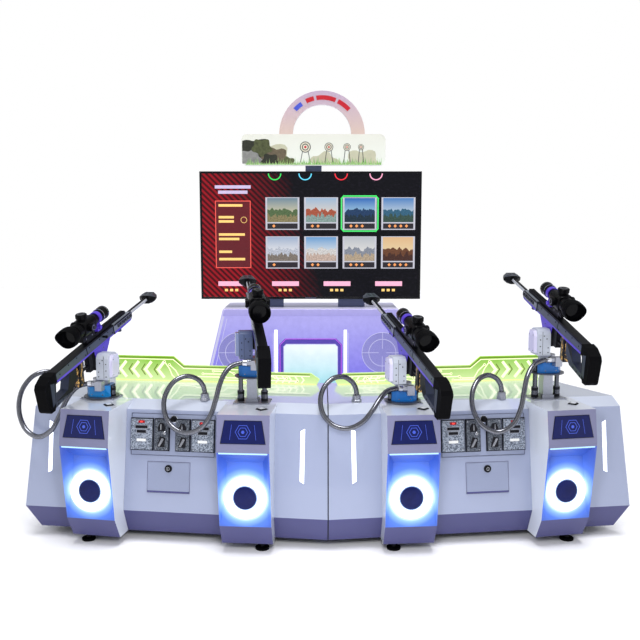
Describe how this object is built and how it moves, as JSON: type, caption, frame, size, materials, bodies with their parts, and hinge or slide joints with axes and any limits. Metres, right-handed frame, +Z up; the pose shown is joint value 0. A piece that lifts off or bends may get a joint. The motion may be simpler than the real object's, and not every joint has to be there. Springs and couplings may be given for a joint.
{
  "type": "light gun cabinet",
  "caption": "Arcade rifle gallery: angled front cabinets with rifles on rising swivel mounts and lit pillars, facing a tower that carries a screen and an arched header.",
  "frame": {"origin": "on the floor, in the middle of the plan's box without the hoses", "axes": "+X to the right seen from the front, +Y to the back, +Z up"},
  "size_m": [2.6047, 1.9405, 2.048],
  "materials": {
    "white_panel": "satin lilac-white paint",
    "black_steel": "black powder coat",
    "coin_steel": "speckled grey steel",
    "lime_acrylic": "printed lit acrylic",
    "lit_white": "lit diffuser",
    "speaker_blue": "dark blue cover",
    "steel": "bright steel",
    "turret_blue": "blue turret box on steel rods",
    "white_cast": "white painted casting",
    "gun_body": "dark moulded rifle body",
    "scope_black": "black sight",
    "tower_white": "painted board",
    "tv_black": "screen",
    "header_board": "printed board"
  },
  "bodies": {
    "machine": {"base_frame_left": "black_steel", "base_frame_right": "black_steel", "cabinet_left": "tower_white", "cabinet_right": "tower_white", "coin_panel_left": "coin_steel", "coin_panel_right": "coin_steel", "game_computer": "black_steel", "hose_1": "steel", "hose_2": "steel", "hose_3": "steel", "hose_4": "steel", "lift_base_1": "steel", "lift_base_2": "steel", "lift_base_3": "steel", "lift_base_4": "steel", "marquee": "header_board", "pillar_1": "tower_white", "pillar_2": "tower_white", "pillar_3": "tower_white", "pillar_4": "tower_white", "ring_light_1": "lit_white", "ring_light_2": "lit_white", "ring_light_3": "lit_white", "ring_light_4": "lit_white", "screen_tower": "tower_white", "sign_left": "lime_acrylic", "sign_right": "lime_acrylic", "speaker_1": "speaker_blue", "speaker_2": "speaker_blue", "speaker_3": "speaker_blue", "speaker_4": "speaker_blue", "tower_rear_door": "tower_white", "tv": "tv_black", "tv_bracket": "steel"},
    "lift_1": {"lift_carriage_1": "turret_blue"},
    "yoke_1": {"gun_yoke_1": "white_cast"},
    "gun_1": {"rifle_1": "gun_body", "scope_1": "scope_black"},
    "trigger_body_1": {"trigger_1": "steel"},
    "button_body_1": {"start_button_1": "lit_white"},
    "lift_2": {"lift_carriage_2": "turret_blue"},
    "yoke_2": {"gun_yoke_2": "white_cast"},
    "gun_2": {"rifle_2": "gun_body", "scope_2": "scope_black"},
    "trigger_body_2": {"trigger_2": "steel"},
    "button_body_2": {"start_button_2": "lit_white"},
    "lift_3": {"lift_carriage_3": "turret_blue"},
    "yoke_3": {"gun_yoke_3": "white_cast"},
    "gun_3": {"rifle_3": "gun_body", "scope_3": "scope_black"},
    "trigger_body_3": {"trigger_3": "steel"},
    "button_body_3": {"start_button_3": "lit_white"},
    "lift_4": {"lift_carriage_4": "turret_blue"},
    "yoke_4": {"gun_yoke_4": "white_cast"},
    "gun_4": {"rifle_4": "gun_body", "scope_4": "scope_black"},
    "trigger_body_4": {"trigger_4": "steel"},
    "button_body_4": {"start_button_4": "lit_white"},
    "cash_door_body_left": {"cash_door_left": "white_panel"},
    "cash_door_body_right": {"cash_door_right": "white_panel"}
  },
  "joints": [
    {"name": "lift_slide_1", "type": "slide", "parent": "machine", "child": "lift_1", "axis": [0, 0, 1], "range_m": [0, 0.105], "deforming": ["hose_1"]},
    {"name": "yaw_hinge_1", "type": "hinge", "parent": "lift_1", "child": "yoke_1", "pos_m": [-0.97275, -0.43918, 0.6433], "axis": [0, 0, 1], "range_deg": [-23.5, 26.5]},
    {"name": "pitch_hinge_1", "type": "hinge", "parent": "yoke_1", "child": "gun_1", "pos_m": [-0.9884, -0.43585, 0.7333], "axis": [0.9781, -0.2079, 0], "range_deg": [-21.5, 9.5]},
    {"name": "trigger_hinge_1", "type": "hinge", "parent": "gun_1", "child": "trigger_body_1", "pos_m": [-1.01574, -0.56449, 0.77989], "axis": [-0.9781, 0.2079, 0], "range_deg": [0, 10], "stiffness_Nm_per_rad": 0.4, "springref_deg": -11.46},
    {"name": "button_slide_1", "type": "slide", "parent": "machine", "child": "button_body_1", "axis": [0, 0, 1], "range_m": [-0.004, 0], "stiffness_N_per_m": 400, "springref_m": 0.002},
    {"name": "lift_slide_2", "type": "slide", "parent": "machine", "child": "lift_2", "axis": [0, 0, 1], "range_m": [-0.105, 0], "deforming": ["hose_2"]},
    {"name": "yaw_hinge_2", "type": "hinge", "parent": "lift_2", "child": "yoke_2", "pos_m": [-0.31516, -0.52776, 0.7483], "axis": [0, 0, 1], "range_deg": [-38.1, 11.9]},
    {"name": "pitch_hinge_2", "type": "hinge", "parent": "yoke_2", "child": "gun_2", "pos_m": [-0.29934, -0.52536, 0.8383], "axis": [0.9888, 0.1495, 0], "range_deg": [-19.7, 11.3]},
    {"name": "trigger_hinge_2", "type": "hinge", "parent": "gun_2", "child": "trigger_body_2", "pos_m": [-0.2799, -0.65388, 0.88899], "axis": [-0.9888, -0.1495, 0], "range_deg": [0, 10], "stiffness_Nm_per_rad": 0.4, "springref_deg": -11.46},
    {"name": "button_slide_2", "type": "slide", "parent": "machine", "child": "button_body_2", "axis": [0, 0, 1], "range_m": [-0.004, 0], "stiffness_N_per_m": 400, "springref_m": 0.002},
    {"name": "lift_slide_3", "type": "slide", "parent": "machine", "child": "lift_3", "axis": [0, 0, 1], "range_m": [0, 0.105], "deforming": ["hose_3"]},
    {"name": "yaw_hinge_3", "type": "hinge", "parent": "lift_3", "child": "yoke_3", "pos_m": [0.31516, -0.52776, 0.6433], "axis": [0, 0, 1], "range_deg": [-33.2, 16.8]},
    {"name": "pitch_hinge_3", "type": "hinge", "parent": "yoke_3", "child": "gun_3", "pos_m": [0.33077, -0.52424, 0.7333], "axis": [0.9755, 0.2198, 0], "range_deg": [-21.7, 9.3]},
    {"name": "trigger_hinge_3", "type": "hinge", "parent": "gun_3", "child": "trigger_body_3", "pos_m": [0.35971, -0.65269, 0.77943], "axis": [-0.9755, -0.2198, 0], "range_deg": [0, 10], "stiffness_Nm_per_rad": 0.4, "springref_deg": -11.46},
    {"name": "button_slide_3", "type": "slide", "parent": "machine", "child": "button_body_3", "axis": [0, 0, 1], "range_m": [-0.004, 0], "stiffness_N_per_m": 400, "springref_m": 0.002},
    {"name": "lift_slide_4", "type": "slide", "parent": "machine", "child": "lift_4", "axis": [0, 0, 1], "range_m": [-0.105, 0], "deforming": ["hose_4"]},
    {"name": "yaw_hinge_4", "type": "hinge", "parent": "lift_4", "child": "yoke_4", "pos_m": [0.93539, -0.4461, 0.7483], "axis": [0, 0, 1], "range_deg": [-19.3, 30.7]},
    {"name": "pitch_hinge_4", "type": "hinge", "parent": "yoke_4", "child": "gun_4", "pos_m": [0.95133, -0.44476, 0.8383], "axis": [0.9965, 0.0837, 0], "range_deg": [-20.4, 10.6]},
    {"name": "trigger_hinge_4", "type": "hinge", "parent": "gun_4", "child": "trigger_body_4", "pos_m": [0.96226, -0.5749, 0.8874], "axis": [-0.9965, -0.0837, 0], "range_deg": [0, 10], "stiffness_Nm_per_rad": 0.4, "springref_deg": -11.46},
    {"name": "button_slide_4", "type": "slide", "parent": "machine", "child": "button_body_4", "axis": [0, 0, 1], "range_m": [-0.004, 0], "stiffness_N_per_m": 400, "springref_m": 0.002},
    {"name": "cash_hinge_left", "type": "hinge", "parent": "machine", "child": "cash_door_body_left", "pos_m": [-0.66482, -0.60725, 0.21706], "axis": [0.9914, -0.1305, 0], "range_deg": [0, 95]},
    {"name": "cash_hinge_right", "type": "hinge", "parent": "machine", "child": "cash_door_body_right", "pos_m": [0.66482, -0.60725, 0.21706], "axis": [0.9914, 0.1305, 0], "range_deg": [0, 95]}
  ]
}
